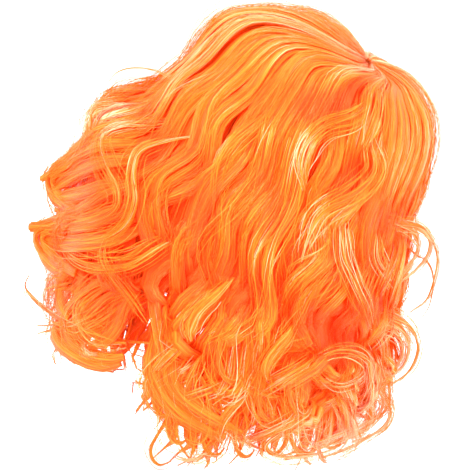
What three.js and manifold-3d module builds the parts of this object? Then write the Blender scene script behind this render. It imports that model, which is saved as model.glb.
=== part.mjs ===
// Wavy costume wig for a dog, in its worn form: a plain stretch cap, with sections of long hair that
// fan out from a whorl on the crown and leave the face open.
// Millimetres, +Z up. The face opening looks along -Y and the wearer's left is +X. The origin is the
// top of the cap's hollow, where the wig sits on the head.
import * as THREE from "three";
import { ParametricGeometry } from "three/addons/geometries/ParametricGeometry.js";
import { mergeVertices } from "three/addons/utils/BufferGeometryUtils.js";
import Module from "manifold-3d";

const wasm = await Module();
wasm.setup();

const { clamp, degToRad, euclideanModulo, lerp, smoothstep } = THREE.MathUtils;

// The head hollow and the cap round it. Angles are in degrees down from the crown.
const HOLLOW_HALF_WIDTH = 54;
const HOLLOW_HALF_LENGTH = 58;
const HOLLOW_HEIGHT = 48; // from the widest level up to the crown
const CAP_WALL = 2;
const RIM_AT_NAPE = 104;
const RIM_AT_BROW = 82;
const CAP_FACETS_AROUND = 24;
const CAP_FACETS_DOWN = 6;

// The hair as a whole
const GAP = 0.5; // clear space round a lock that another section's hair keeps
const SECTION_GAP = 1; // between two sections' backings
const CAP_CLEARANCE = 0.8; // between the hair and the cap's outside, at the facets' corners
const WHORL = new THREE.Vector2(-12, 4); // where the hair parts, to one side of the crown's middle
const WHORL_ANGLE = 6; // bare spot at the whorl, degrees from the crown
const COVER_AT_WHORL = 2; // depth of hair on the cap

// How the outside of the hair falls, a row for each direction round the head.
// turn: degrees from the back, towards the wearer's right. cover: depth of hair on the cap's side.
// leave: where the hair leaves the cap, degrees from the crown. flare, hem: distances from the upright
// axis. Drops are below the cap's widest level.
const FALL = [
  { turn: -180, cover: 12, leave: 80, flare: 80, flareDrop: 8, hem: 76, hemDrop: 28 },
  { turn: -155, cover: 14, leave: 76, flare: 84, flareDrop: 14, hem: 80, hemDrop: 40 },
  { turn: -135, cover: 17, leave: 66, flare: 95, flareDrop: 40, hem: 88, hemDrop: 94 },
  { turn: -118, cover: 20, leave: 54, flare: 104, flareDrop: 56, hem: 92, hemDrop: 126 },
  { turn: -90, cover: 21, leave: 46, flare: 108, flareDrop: 62, hem: 94, hemDrop: 140 },
  { turn: -60, cover: 20, leave: 50, flare: 107, flareDrop: 72, hem: 88, hemDrop: 150 },
  { turn: -38, cover: 18, leave: 60, flare: 102, flareDrop: 78, hem: 86, hemDrop: 138 },
  { turn: -20, cover: 17, leave: 68, flare: 98, flareDrop: 80, hem: 84, hemDrop: 124 },
  { turn: -5, cover: 16, leave: 72, flare: 96, flareDrop: 90, hem: 86, hemDrop: 162 },
  { turn: 25, cover: 16, leave: 74, flare: 96, flareDrop: 94, hem: 84, hemDrop: 158 },
  { turn: 55, cover: 17, leave: 76, flare: 98, flareDrop: 94, hem: 84, hemDrop: 152 },
  { turn: 90, cover: 17, leave: 78, flare: 98, flareDrop: 88, hem: 88, hemDrop: 132 },
  { turn: 118, cover: 17, leave: 74, flare: 96, flareDrop: 64, hem: 88, hemDrop: 116 },
  { turn: 135, cover: 16, leave: 72, flare: 92, flareDrop: 42, hem: 86, hemDrop: 90 },
  { turn: 155, cover: 14, leave: 76, flare: 84, flareDrop: 14, hem: 80, hemDrop: 40 },
  { turn: 180, cover: 12, leave: 80, flare: 80, flareDrop: 8, hem: 76, hemDrop: 28 },
];

// The waves of the hair. Shares are of the way from root to tip.
const WAVE_LENGTH = 58; // at the root
const WAVE_TIGHTENING = 0.25; // how much shorter the waves get towards the tip
const WAVE_SIZE = 9; // sideways, to either side
const WAVE_DEPTH = 0.6; // in-and-out size, as a share of the sideways size
const WAVE_STARTS = 0.25;
const WAVE_FULL = 0.85;
const FULL_WAVE_DROP = 100; // hair that drops less than this waves less
const WAVES_ROUND = 3; // how many waves the locks run through, once round the head

// The backing: a wall of hair from the whorl over the cap and down inside the locks
const BACKING_ENDS = 0.94; // share of the way to the tips
const BACKING_HEM = 0.35; // its depth at its lower edge, as a share of the cover
const BACKING_ROWS = 10; // rows of its facets, the same in all so that neighbours match

// The locks that lie on the backing, with half sizes at their widest
const LOCKS = 24;
const LOCK_WIDTH = 10.5;
const LOCK_THICK = 6.5;
const LOCK_SINK = 4; // how far a lock's middle lies under the outside of the hair
const LOCK_STARTS = 0.05; // shares of the way from root to tip
const LOCK_WIDEST = 0.6;
const LOCK_ROOT_SHARE = 0.12; // sizes at the lock's root and tip, as shares of the full ones
const LOCK_TIP_SHARE = 0.4;
const LOCK_SIDES = 4;
const LOCK_STEP = 15; // length of a step along a lock
const LOCK_STEP_POWER = 0.8; // under 1, steps get shorter towards the tip
const SHORTEST_LOCK = 0.95; // lengths, as shares of the fall's own length
const LONGEST_LOCK = 1.04;
const GOLDEN = 0.618034; // spreads small differences evenly over the locks

// The sections, by their locks, which are counted from the middle of the forehead round by the left
const SECTIONS = [
  { name: "back_hair_left", firstLock: 6, lockCount: 6 },
  { name: "back_hair_right", firstLock: 12, lockCount: 6 },
  { name: "side_hair_left", firstLock: 2, lockCount: 4 },
  { name: "side_hair_right", firstLock: 18, lockCount: 4 },
  { name: "fringe", firstLock: 22, lockCount: 4 },
];
const CORNER_MERGE = 1e-3; // corners closer than this are one

const hairFinish = new THREE.MeshStandardMaterial({ color: 0xff821e, roughness: 0.4, metalness: 0 });
const capFinish = new THREE.MeshStandardMaterial({ color: 0xc8501a, roughness: 0.9, metalness: 0 });

// Solids
function solidFrom(geometry) {
  const bare = new THREE.BufferGeometry();
  bare.setAttribute("position", geometry.getAttribute("position"));
  bare.setIndex(geometry.getIndex());
  const merged = mergeVertices(bare, CORNER_MERGE);
  const corners = merged.getIndex().array;
  const triangles = [];
  for (let first = 0; first < corners.length; first += 3) {
    const [a, b, c] = corners.slice(first, first + 3);
    if (a !== b && b !== c && c !== a) triangles.push(a, b, c);
  }
  return new wasm.Manifold(
    new wasm.Mesh({
      numProp: 3,
      vertProperties: Float32Array.from(merged.getAttribute("position").array),
      triVerts: Uint32Array.from(triangles),
    }),
  );
}

function joined(solids) {
  return solids.reduce((whole, solid) => whole.add(solid));
}

function largestBody(solid) {
  return solid.decompose().reduce((best, body) => (body.volume() > best.volume() ? body : best));
}

function geometryFrom(solid) {
  const { vertProperties, triVerts } = solid.getMesh();
  const geometry = new THREE.BufferGeometry();
  geometry.setAttribute("position", new THREE.BufferAttribute(vertProperties, 3));
  geometry.setIndex(new THREE.BufferAttribute(triVerts, 1));
  return geometry;
}

// Merging near corners again after the cuts sets slivers loose, and only the main body is kept
function pieceFrom(solid, name, material) {
  const main = largestBody(solidFrom(geometryFrom(largestBody(solid))));
  const piece = new THREE.Mesh(geometryFrom(main), material);
  piece.name = name;
  return piece;
}

// Cap: a dome wall from its outer crown down to the rim and up the inside again, turned round the head
function domePoint(turn, angle, grown, target) {
  return target.set(
    -(HOLLOW_HALF_WIDTH + grown) * Math.sin(angle) * Math.sin(turn),
    (HOLLOW_HALF_LENGTH + grown) * Math.sin(angle) * Math.cos(turn),
    (HOLLOW_HEIGHT + grown) * Math.cos(angle) - HOLLOW_HEIGHT,
  );
}

function capWall(u, v, target) {
  const turn = (1 - u) * 2 * Math.PI;
  const backness = (1 + Math.cos(turn)) / 2;
  const rim = degToRad(lerp(RIM_AT_BROW, RIM_AT_NAPE, backness));
  const rings = 2 * CAP_FACETS_DOWN + 1;
  const ring = Math.round(v * rings);
  const outside = ring <= CAP_FACETS_DOWN;
  const down = (outside ? ring : rings - ring) / CAP_FACETS_DOWN;
  domePoint(turn, down * rim, outside ? CAP_WALL : 0, target);
}

// The space that hair keeps out of: the cap with its hollow filled, and the gap round it
function capKeepOut(u, v, target) {
  domePoint((1 - u) * 2 * Math.PI, v * Math.PI, CAP_WALL + CAP_CLEARANCE, target);
}

// Lay of the hair
function fallAt(turn) {
  const wrapped = euclideanModulo(turn + 180, 360) - 180;
  const next = FALL.findIndex((row, index) => index > 0 && row.turn >= wrapped);
  const [before, after] = [FALL[next - 1], FALL[next]];
  const share = (wrapped - before.turn) / (after.turn - before.turn);
  return Object.fromEntries(Object.keys(after).map((key) => [key, lerp(before[key], after[key], share)]));
}

function coverAt(angle, sideCover) {
  return COVER_AT_WHORL + (sideCover - COVER_AT_WHORL) * Math.sqrt(Math.sin(angle));
}

// One flow line of the hair, from the whorl to a tip, at a turn in degrees and a depth under the outside
class FlowLine {
  constructor({ turn, sink = 0, length = 1 }) {
    this.row = fallAt(turn);
    this.turn = degToRad(turn);
    this.line = this.fallLine(sink, length);
    this.span = this.line.getLength();
    this.waveSize = WAVE_SIZE * smoothstep(this.row.hemDrop, 0, FULL_WAVE_DROP);
  }

  // The line in its own upright plane: over the cap, out to the flare and in to the hem.
  // x is the distance from the axis and y the height over the widest level.
  fallLine(sink, length) {
    const { row, turn } = this;
    const radius = 1 / Math.hypot(Math.sin(turn) / HOLLOW_HALF_WIDTH, Math.cos(turn) / HOLLOW_HALF_LENGTH);
    const overCap = (angleInDegrees) => {
      const angle = degToRad(angleInDegrees);
      const cover = coverAt(angle, row.cover);
      const lift = CAP_WALL + Math.max(cover - sink, cover / 2);
      return new THREE.Vector2((radius + lift) * Math.sin(angle), (HOLLOW_HEIGHT + lift) * Math.cos(angle));
    };
    const start = overCap(WHORL_ANGLE);
    const middle = overCap((WHORL_ANGLE + row.leave) / 2);
    const end = overCap(row.leave);
    const flare = new THREE.Vector2(row.flare - sink, -row.flareDrop);
    const hem = new THREE.Vector2(row.hem - sink, -row.hemDrop * length);
    const leave = degToRad(row.leave);
    const pull = new THREE.Vector2(Math.cos(leave), -Math.sin(leave)).setLength(end.distanceTo(flare) / 3);
    const flarePull = (end.y - flare.y) / 3;
    const hemPull = (flare.y - hem.y) / 3;

    const line = new THREE.Path();
    line.moveTo(start.x, start.y);
    line.splineThru([middle, end]);
    line.bezierCurveTo(end.x + pull.x, end.y + pull.y, flare.x, flare.y + flarePull, flare.x, flare.y);
    line.bezierCurveTo(flare.x, flare.y - hemPull, hem.x, hem.y + hemPull, hem.x, hem.y);
    return line;
  }

  // A point on the waving line, with the outward and sideways directions and the backing's depth there
  stationAt(share) {
    const { turn, line, span, row } = this;
    const flat = line.getPointAt(share);
    const tangent = line.getTangentAt(share);
    const away = new THREE.Vector3(-Math.sin(turn), Math.cos(turn), 0);
    const round = new THREE.Vector3(-Math.cos(turn), -Math.sin(turn), 0);
    const out = away.clone().multiplyScalar(-tangent.y).setZ(tangent.x);

    const waves = ((span * share) / WAVE_LENGTH) * (1 + WAVE_TIGHTENING * share);
    const wave = WAVES_ROUND * turn + 2 * Math.PI * waves;
    const size = this.waveSize * smoothstep(share, WAVE_STARTS, WAVE_FULL);
    const shift = WHORL.clone().multiplyScalar(1 - smoothstep(flat.x, 0, HOLLOW_HALF_LENGTH));
    const point = away.multiplyScalar(flat.x).setZ(flat.y - HOLLOW_HEIGHT);
    point.addScaledVector(round, size * Math.cos(wave));
    point.addScaledVector(out, size * WAVE_DEPTH * Math.sin(wave));
    point.x += shift.x;
    point.y += shift.y;

    const cover = coverAt(Math.atan2(flat.x, Math.max(flat.y, 0)), row.cover);
    const depth = cover * lerp(1, BACKING_HEM, smoothstep(-flat.y, 0, row.hemDrop * BACKING_ENDS));
    return { point, out, round, depth };
  }
}

// Bends a geometry that stands along Y along a row of stations. sizesAt gives its half width and half
// thickness at a share of its length.
function bentAlong(geometry, stations, sizesAt) {
  const steps = stations.length - 1;
  const corners = geometry.getAttribute("position");
  for (let index = 0; index < corners.count; index += 1) {
    const share = clamp(corners.getY(index) + 0.5, 0, 1);
    const ring = Math.round(share * steps);
    const ahead = stations[Math.min(ring + 1, steps)].point.clone();
    ahead.sub(stations[Math.max(ring - 1, 0)].point).normalize();
    const across = new THREE.Vector3().crossVectors(ahead, stations[ring].out).normalize();
    const up = new THREE.Vector3().crossVectors(across, ahead);
    const { width, thick } = sizesAt(share);
    const corner = stations[ring].point.clone();
    corner.addScaledVector(across, corners.getX(index) * width);
    corner.addScaledVector(up, corners.getZ(index) * thick);
    corners.setXYZ(index, corner.x, corner.y, corner.z);
  }
  return solidFrom(geometry);
}

// Backing: a wall that runs down inside the locks of a section and up again nearer the head. Its columns
// are flow lines between the locks, and at either side it closes on its middle line.
function backingSolid({ firstLock, lockCount }, grown) {
  const columns = Array.from(
    { length: lockCount + 1 },
    (_, column) => new FlowLine({ turn: lockTurn(firstLock + lockCount - 0.5 - column), sink: LOCK_SINK }),
  );
  const lastColumn = columns.length - 1;
  const rings = 2 * BACKING_ROWS + 2;
  const wall = (u, v, target) => {
    const stop = Math.round(u * (lastColumn + 2)) - 1;
    const column = clamp(stop, 0, lastColumn);
    const ring = Math.round(v * rings) % rings;
    const outside = ring <= BACKING_ROWS;
    const down = (outside ? ring : rings - 1 - ring) / BACKING_ROWS;
    const { point, out, round, depth } = columns[column].stationAt(down * BACKING_ENDS);
    const inward = outside ? -grown : depth + grown;
    target.copy(point).addScaledVector(out, stop === column ? -inward : -depth / 2);
    const sideways = SECTION_GAP / 2 - grown;
    if (column === 0) target.addScaledVector(round, -sideways);
    if (column === lastColumn) target.addScaledVector(round, sideways);
  };
  return solidFrom(new ParametricGeometry(wall, lastColumn + 2, rings));
}

// Locks
function lockTurn(lockNumber) {
  return lerp(-180, 180, (lockNumber + 0.5) / LOCKS);
}

function scatter(index, salt) {
  return (index * GOLDEN + salt * GOLDEN * GOLDEN) % 1;
}

function lockSolid(lockNumber, grown) {
  const flow = new FlowLine({
    turn: lockTurn(lockNumber),
    sink: LOCK_SINK,
    length: lerp(SHORTEST_LOCK, LONGEST_LOCK, scatter(lockNumber, 1)),
  });
  const steps = Math.round(flow.span / LOCK_STEP);
  const stations = Array.from({ length: steps + 1 }, (_, step) =>
    flow.stationAt(lerp(LOCK_STARTS, 1, (step / steps) ** LOCK_STEP_POWER)),
  );
  const sizesAt = (share) => {
    const swell = lerp(LOCK_ROOT_SHARE, 1, smoothstep(share, 0, LOCK_WIDEST));
    const taper = lerp(1, LOCK_TIP_SHARE, smoothstep(share, LOCK_WIDEST, 1));
    return { width: LOCK_WIDTH * swell * taper + grown, thick: LOCK_THICK * swell * taper + grown };
  };
  return bentAlong(new THREE.CylinderGeometry(1, 1, 1, LOCK_SIDES, steps), stations, sizesAt);
}

const wig = new THREE.Group();
const capSolid = solidFrom(new ParametricGeometry(capWall, CAP_FACETS_AROUND, 2 * CAP_FACETS_DOWN + 1));
const keepOut = solidFrom(new ParametricGeometry(capKeepOut, CAP_FACETS_AROUND, 2 * CAP_FACETS_DOWN));
wig.add(pieceFrom(capSolid, "cap", capFinish));

// Each section is cut clear of the cap, of the other sections' backing and of the locks already made
const backingsWithGap = SECTIONS.map((section) => backingSolid(section, GAP));
let taken = keepOut;
SECTIONS.forEach((section, index) => {
  const lockNumbers = Array.from({ length: section.lockCount }, (_, offset) => section.firstLock + offset);
  const otherBackings = joined(backingsWithGap.filter((_, other) => other !== index));
  const locks = joined(lockNumbers.map((lock) => lockSolid(lock, 0)));
  const hair = locks.subtract(otherBackings).add(backingSolid(section, 0)).subtract(taken);
  wig.add(pieceFrom(hair, section.name, hairFinish));
  taken = taken.add(joined(lockNumbers.map((lock) => lockSolid(lock, GAP))));
});

export default wig;
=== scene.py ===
"""A wavy orange costume wig for a dog, seen from behind: a knit cap under long glossy locks that fan out
from a whorl on the crown. Sizes are in millimetres until a mesh is made, and a turn round the head is in
degrees from the back, positive towards the wearer's right."""

import bpy
import numpy as np
from mathutils import Matrix, Vector


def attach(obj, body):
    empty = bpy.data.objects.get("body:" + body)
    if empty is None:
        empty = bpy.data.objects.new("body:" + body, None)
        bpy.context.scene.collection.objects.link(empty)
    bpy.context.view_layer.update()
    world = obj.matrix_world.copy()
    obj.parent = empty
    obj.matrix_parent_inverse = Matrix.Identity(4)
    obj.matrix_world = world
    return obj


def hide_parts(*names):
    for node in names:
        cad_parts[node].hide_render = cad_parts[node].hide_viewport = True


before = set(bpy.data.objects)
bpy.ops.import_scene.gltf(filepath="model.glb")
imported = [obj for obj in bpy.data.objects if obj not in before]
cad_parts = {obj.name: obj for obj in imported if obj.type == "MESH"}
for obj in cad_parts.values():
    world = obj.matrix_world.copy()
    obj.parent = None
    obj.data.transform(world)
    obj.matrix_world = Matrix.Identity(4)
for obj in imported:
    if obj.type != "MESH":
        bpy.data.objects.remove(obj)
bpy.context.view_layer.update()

# Camera: a long lens behind the wig and a little above it. It is rolled, so the wig leans to the right
# in the picture.
AIM = Vector((0.0097, 0.0, -0.1084))
CAMERA_DISTANCE = 1.0
CAMERA_RISE = np.radians(12.0)
CAMERA_ROLL = np.radians(25.0)
CAMERA_LENS = 147.3

level_right = Vector((-1.0, 0.0, 0.0))
level_up = Vector((0.0, -np.sin(CAMERA_RISE), np.cos(CAMERA_RISE)))
camera_back = Vector((0.0, np.cos(CAMERA_RISE), np.sin(CAMERA_RISE)))
camera_right = level_right * np.cos(CAMERA_ROLL) + level_up * np.sin(CAMERA_ROLL)
camera_up = level_up * np.cos(CAMERA_ROLL) - level_right * np.sin(CAMERA_ROLL)
camera_data = bpy.data.cameras.new("camera")
camera_data.lens = CAMERA_LENS
camera = bpy.data.objects.new("camera", camera_data)
bpy.context.collection.objects.link(camera)
camera_axes = Matrix((camera_right, camera_up, camera_back)).transposed()
camera.matrix_world = Matrix.Translation(AIM + camera_back * CAMERA_DISTANCE) @ camera_axes.to_4x4()
bpy.context.scene.camera = camera

# Studio: a bright even surround, a large soft light over the camera and a smaller one from the side.
# The picture is exposed as high as the photograph, so lit orange turns yellow and shaded orange red.
SURROUND_COLOUR = (1.0, 1.0, 1.0, 1.0)
SURROUND_STRENGTH = 1.8
KEY_PLACE = AIM + camera_up * 0.85 + camera_back * 0.75 - camera_right * 0.35
KEY_SIZE = 0.45
KEY_POWER = 26.0
SIDE_PLACE = AIM + camera_right * 0.9 + camera_up * 0.35 + camera_back * 0.5
SIDE_SIZE = 0.35
SIDE_POWER = 13.0


def soft_light(name, place, size, power):
    """A square area light at a place, turned to face the wig."""
    light_data = bpy.data.lights.new(name, "AREA")
    light_data.size = size
    light_data.energy = power
    light = bpy.data.objects.new(name, light_data)
    light.location = place
    light.rotation_euler = (AIM - place).to_track_quat("-Z", "Y").to_euler()
    bpy.context.collection.objects.link(light)


def set_inputs(node, values):
    """Set the sockets of a shader node by their names."""
    for name, value in values.items():
        node.inputs[name].default_value = value


soft_light("key_light", KEY_PLACE, KEY_SIZE, KEY_POWER)
soft_light("side_light", SIDE_PLACE, SIDE_SIZE, SIDE_POWER)
surround = bpy.data.worlds.new("surround")
surround.use_nodes = True
surround_light = surround.node_tree.nodes["Background"]
set_inputs(surround_light, {"Color": SURROUND_COLOUR, "Strength": SURROUND_STRENGTH})
bpy.context.scene.world = surround
bpy.context.scene.view_settings.view_transform = "Standard"

# Floor: a plain pale sheet some way under the tips, because a head holds the wig up.
FLOOR_LEVEL = -0.262
FLOOR_REACH = 6.0
FLOOR_COLOUR = (0.9, 0.9, 0.89, 1.0)
FLOOR_ROUGHNESS = 0.7

floor_mesh = bpy.data.meshes.new("floor")
floor_signs = ((-1, -1), (1, -1), (1, 1), (-1, 1))
floor_corners = [(x * FLOOR_REACH, y * FLOOR_REACH, FLOOR_LEVEL) for x, y in floor_signs]
floor_mesh.from_pydata(floor_corners, [], [(0, 1, 2, 3)])
floor = bpy.data.objects.new("floor", floor_mesh)
bpy.context.collection.objects.link(floor)
floor_paint = bpy.data.materials.new("pale_floor")
floor_paint.use_nodes = True
floor_shader = floor_paint.node_tree.nodes["Principled BSDF"]
set_inputs(floor_shader, {"Base Color": FLOOR_COLOUR, "Roughness": FLOOR_ROUGHNESS})
floor_mesh.materials.append(floor_paint)

# Cap: a stretch knit dome that the hair is sewn to, open downwards and cut higher over the brow. It is
# one wall with a soft turned edge, and only shows from below.
MM = 0.001
HOLLOW_HALF_WIDTH = 54.0
HOLLOW_HALF_LENGTH = 58.0
HOLLOW_HEIGHT = 48.0
CAP_WALL = 2.0
RIM_AT_NAPE = 104.0
RIM_AT_BROW = 82.0
CAP_SPOKES = 96
CAP_RINGS = 44
CROWN_RING = 0.01
RIM_RINGS = 7
KNIT_COLOUR = (0.85, 0.17, 0.02, 1.0)
KNIT_SHADE = (0.65, 0.09, 0.012, 1.0)
KNIT_PITCH = 1.5


def put_mesh(name, rings, along, girth, attributes, material):
    """Closed tubes from an array of rings (tube, ring, point, xyz) in millimetres. Neighbouring points and
    rings are joined by quads and each end ring is closed by one face. The UV map runs round the tube by
    its girth and along it by the given lengths, both in millimetres."""
    tubes, ring_count, sides, _ = rings.shape
    number = np.arange(tubes * ring_count * sides).reshape(tubes, ring_count, sides)
    following = np.roll(number, -1, axis=2)
    walls = np.stack((number[:, :-1], following[:, :-1], following[:, 1:], number[:, 1:]), axis=-1)
    ends = np.stack((number[:, 0, ::-1], number[:, -1]), axis=1)
    corners = np.concatenate((walls.ravel(), ends.ravel()))
    face_sizes = np.concatenate((np.full(walls.size // 4, 4), np.full(ends.size // sides, sides)))
    face_starts = np.concatenate(((0,), np.cumsum(face_sizes)[:-1]))

    mesh = bpy.data.meshes.new(name)
    mesh.vertices.add(number.size)
    mesh.vertices.foreach_set("co", (rings * MM).astype(np.float32).ravel())
    mesh.loops.add(corners.size)
    mesh.loops.foreach_set("vertex_index", corners.astype(np.int32))
    mesh.polygons.add(face_sizes.size)
    mesh.polygons.foreach_set("loop_start", face_starts.astype(np.int32))
    mesh.polygons.foreach_set("use_smooth", np.ones(face_sizes.size, dtype=bool))
    mesh.update(calc_edges=True)

    side = np.arange(sides)
    wall_side = np.stack((side, side + 1, side + 1, side), axis=-1) / sides
    wall_round = np.broadcast_to(girth[:, None, None, None] * wall_side, walls.shape)
    lengths = np.broadcast_to(along, (tubes, ring_count))
    wall_along = np.stack((lengths[:, :-1], lengths[:, :-1], lengths[:, 1:], lengths[:, 1:]), axis=-1)
    wall_along = np.broadcast_to(wall_along[:, :, None, :], walls.shape)
    end_round = np.broadcast_to(girth[:, None, None] * side / sides, ends.shape)
    end_along = np.broadcast_to(lengths[:, (0, -1), None], ends.shape)
    round_map = np.concatenate((wall_round.ravel(), end_round.ravel()))
    along_map = np.concatenate((wall_along.ravel(), end_along.ravel()))
    layer = mesh.uv_layers.new(name="fibre")
    layer.data.foreach_set("uv", np.stack((round_map, along_map), axis=-1).astype(np.float32).ravel())

    for attribute_name, values in attributes.items():
        attribute = mesh.attributes.new(attribute_name, "FLOAT", "POINT")
        spread = np.broadcast_to(values[..., None], number.shape)
        attribute.data.foreach_set("value", spread.astype(np.float32).ravel())
    mesh.materials.append(material)
    piece = bpy.data.objects.new(name, mesh)
    bpy.context.collection.objects.link(piece)
    return piece


def cap_rings():
    """A dome wall as one tube round the upright axis. Its rings run from the crown down the outside, half
    round the turned rim and up the inside. A ring point is (half width x sin angle x sin turn, half length
    x sin angle x cos turn, height x cos angle), grown by the wall outside."""
    turn = -2.0 * np.pi * np.arange(CAP_SPOKES) / CAP_SPOKES
    rim = np.radians(RIM_AT_BROW + (RIM_AT_NAPE - RIM_AT_BROW) * (1.0 + np.cos(turn)) / 2.0)
    down = np.linspace(CROWN_RING, 1.0, CAP_RINGS)
    roll = np.linspace(0.0, np.pi, RIM_RINGS)[1:-1]
    grown = np.concatenate((np.full(CAP_RINGS, 1.0), (1.0 + np.cos(roll)) / 2.0, np.zeros(CAP_RINGS)))
    reach = np.concatenate((down, np.ones(roll.size), down[::-1]))
    droop = np.concatenate((np.zeros(CAP_RINGS), np.sin(roll), np.zeros(CAP_RINGS)))
    angle = reach[:, None] * rim + droop[:, None] * CAP_WALL / 2.0 / HOLLOW_HALF_LENGTH
    wall = (CAP_WALL * grown)[:, None]
    x = -(HOLLOW_HALF_WIDTH + wall) * np.sin(angle) * np.sin(turn)
    y = (HOLLOW_HALF_LENGTH + wall) * np.sin(angle) * np.cos(turn)
    z = (HOLLOW_HEIGHT + wall) * np.cos(angle) - HOLLOW_HEIGHT
    return np.stack((x, y, z), axis=-1)[None]


knit = bpy.data.materials.new("stretch_knit")
knit.use_nodes = True
knit_nodes = knit.node_tree.nodes
knit_links = knit.node_tree.links
knit_shader = knit_nodes["Principled BSDF"]
set_inputs(knit_shader, {"Roughness": 0.85, "Sheen Weight": 0.3})
knit_map = knit_nodes.new("ShaderNodeUVMap")
knit_map.uv_map = "fibre"
knit_rows = knit_nodes.new("ShaderNodeTexWave")
knit_rows.wave_type = "BANDS"
knit_rows.bands_direction = "DIAGONAL"
set_inputs(knit_rows, {"Scale": 1.0 / KNIT_PITCH, "Distortion": 1.2, "Detail": 1.0})
knit_ramp = knit_nodes.new("ShaderNodeValToRGB")
knit_ramp.color_ramp.elements[0].color = KNIT_SHADE
knit_ramp.color_ramp.elements[1].color = KNIT_COLOUR
knit_bump = knit_nodes.new("ShaderNodeBump")
set_inputs(knit_bump, {"Strength": 0.6, "Distance": 0.0006})
knit_links.new(knit_map.outputs["UV"], knit_rows.inputs["Vector"])
knit_links.new(knit_rows.outputs["Fac"], knit_ramp.inputs["Fac"])
knit_links.new(knit_rows.outputs["Fac"], knit_bump.inputs["Height"])
knit_links.new(knit_ramp.outputs["Color"], knit_shader.inputs["Base Color"])
knit_links.new(knit_bump.outputs["Normal"], knit_shader.inputs["Normal"])

cap_wall_rings = cap_rings()
cap_steps = np.linalg.norm(np.diff(cap_wall_rings[0, :, 0], axis=0), axis=-1)
cap_along = np.concatenate(((0.0,), np.cumsum(cap_steps)))
cap_girth = np.array([2.0 * np.pi * HOLLOW_HALF_LENGTH])
cap = put_mesh("knit_cap", cap_wall_rings, cap_along, cap_girth, {}, knit)
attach(cap, "root")
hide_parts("cap")

# Locks: synthetic hair in flat tapering locks, combed from the whorl over the cap and set in waves that
# grow and tighten towards the tips. They are sewn on in layers, and the inner ones show in the gaps.
WHORL_TURN = 45.0
WHORL_TILT = 20.0
WHORL_ANGLE = 3.0
SWIRL = 30.0
COVER_AT_WHORL = 6.0
# How the hair falls at each turn: its depth over the cap, the angle from the crown at which it leaves the
# cap, and the radius and the drop below the cap's widest level of its flare and of its hem
FALL_COLUMNS = ("turn", "cover", "leave", "flare", "flare_drop", "hem", "hem_drop")
FALL = np.array(
    [
        (-180, 5, 80, 82, 8, 78, 28),
        (-155, 7, 76, 86, 14, 82, 40),
        (-135, 16, 70, 96, 40, 88, 94),
        (-118, 28, 74, 103, 34, 88, 120),
        (-90, 35, 78, 108, 28, 88, 128),
        (-60, 28, 72, 105, 50, 88, 145),
        (-38, 21, 66, 100, 74, 87, 144),
        (-20, 19, 68, 98, 80, 86, 119),
        (-2, 18, 72, 96, 90, 86, 156),
        (25, 17, 74, 95, 94, 88, 144),
        (55, 18, 80, 94, 102, 90, 138),
        (90, 20, 86, 95, 108, 92, 135),
        (118, 20, 84, 91, 98, 89, 122),
        (135, 13, 72, 90, 42, 86, 90),
        (155, 8, 76, 84, 14, 80, 40),
        (180, 5, 80, 82, 8, 78, 28),
    ],
    dtype=float,
)
WAIST = 0.45
WAIST_ANGLES = np.radians((48.0, 80.0))
LONGEST = 1.18
EVEN_OUT = 9
TURNS = 360
LINE_STEPS = 60
LAY_STEPS = 120


def smooth_step(value, low, high):
    """0 below low, 1 above high, and 3 t^2 - 2 t^3 between."""
    t = np.clip((value - low) / (high - low), 0.0, 1.0)
    return t * t * (3.0 - 2.0 * t)


def mix(low, high, share):
    """low at share 0, high at share 1, in a straight line."""
    return low + (high - low) * share


def fall(column):
    """One column of the fall table at each whole degree: straight lines between the rows, evened out by a
    running mean."""
    values = np.interp(np.arange(-180.0, 180.0), FALL[:, 0], FALL[:, FALL_COLUMNS.index(column)])
    return np.mean([np.roll(values, shift) for shift in range(-EVEN_OUT, EVEN_OUT + 1)], axis=0)[:, None]


def cubic(start, pull, push, end, t):
    """A cubic Bezier curve: the four points weighted by (1-t)^3, 3 t (1-t)^2, 3 t^2 (1-t) and t^3."""
    return start * (1 - t) ** 3 + 3 * pull * t * (1 - t) ** 2 + 3 * push * t**2 * (1 - t) + end * t**3


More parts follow.
